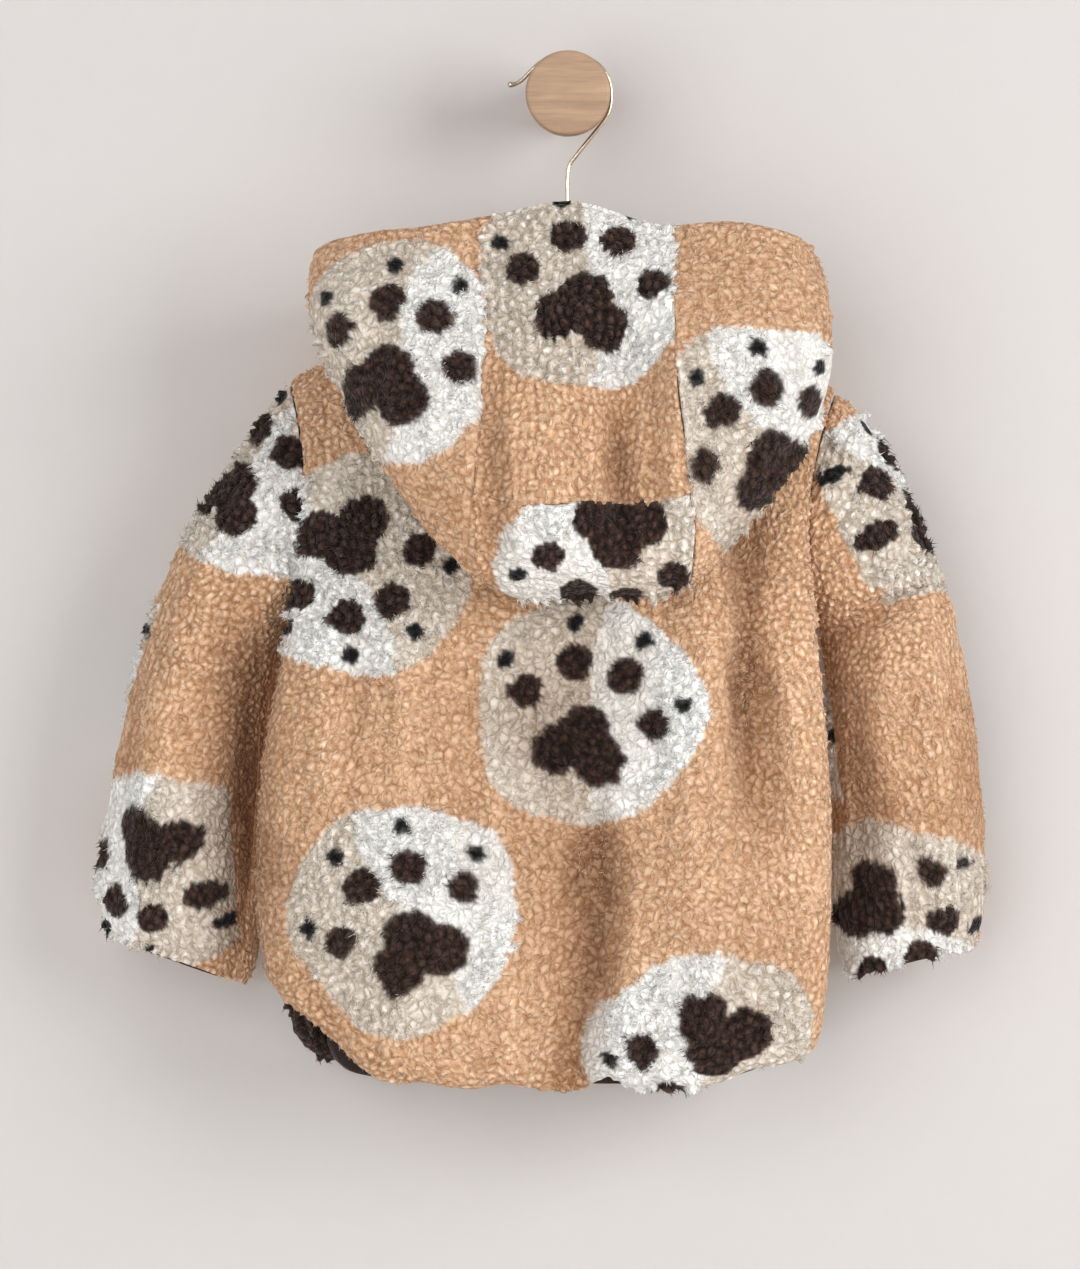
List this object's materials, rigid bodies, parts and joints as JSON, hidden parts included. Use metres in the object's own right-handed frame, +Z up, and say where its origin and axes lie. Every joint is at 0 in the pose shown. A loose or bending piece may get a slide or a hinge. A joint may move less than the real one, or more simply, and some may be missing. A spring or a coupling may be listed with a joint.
{
  "type": "child's hooded fleece jacket with a wire hanger and a wall peg",
  "caption": "Child's hooded borg-fleece jacket with an elastic hem and cuffs and its hood laid back, hung by a bent wire hanger on a round wooden wall peg.",
  "frame": {"origin": "centre of the peg's flat back face, on the wall", "axes": "+Z up, +Y into the wall, +X to the right for someone who looks at the jacket's back"},
  "size_m": [0.505, 0.1713, 0.585],
  "materials": {
    "camel_fleece": "curly borg pile, matt",
    "brown_elastic": "smooth stretch binding, matt",
    "pale_metal": "pale champagne plating, satin",
    "beech_wood": "oiled beech, satin"
  },
  "bodies": {
    "root": {"back": "camel_fleece", "front": "camel_fleece", "sleeve_left": "camel_fleece", "sleeve_right": "camel_fleece", "hood_left": "camel_fleece", "hood_right": "camel_fleece", "hood_nape": "camel_fleece", "hood_crown": "camel_fleece", "hem_band": "brown_elastic", "cuff_band_left": "brown_elastic", "cuff_band_right": "brown_elastic", "hanger_hook": "pale_metal", "hanger_arm": "pale_metal", "peg": "beech_wood"}
  },
  "joints": []
}
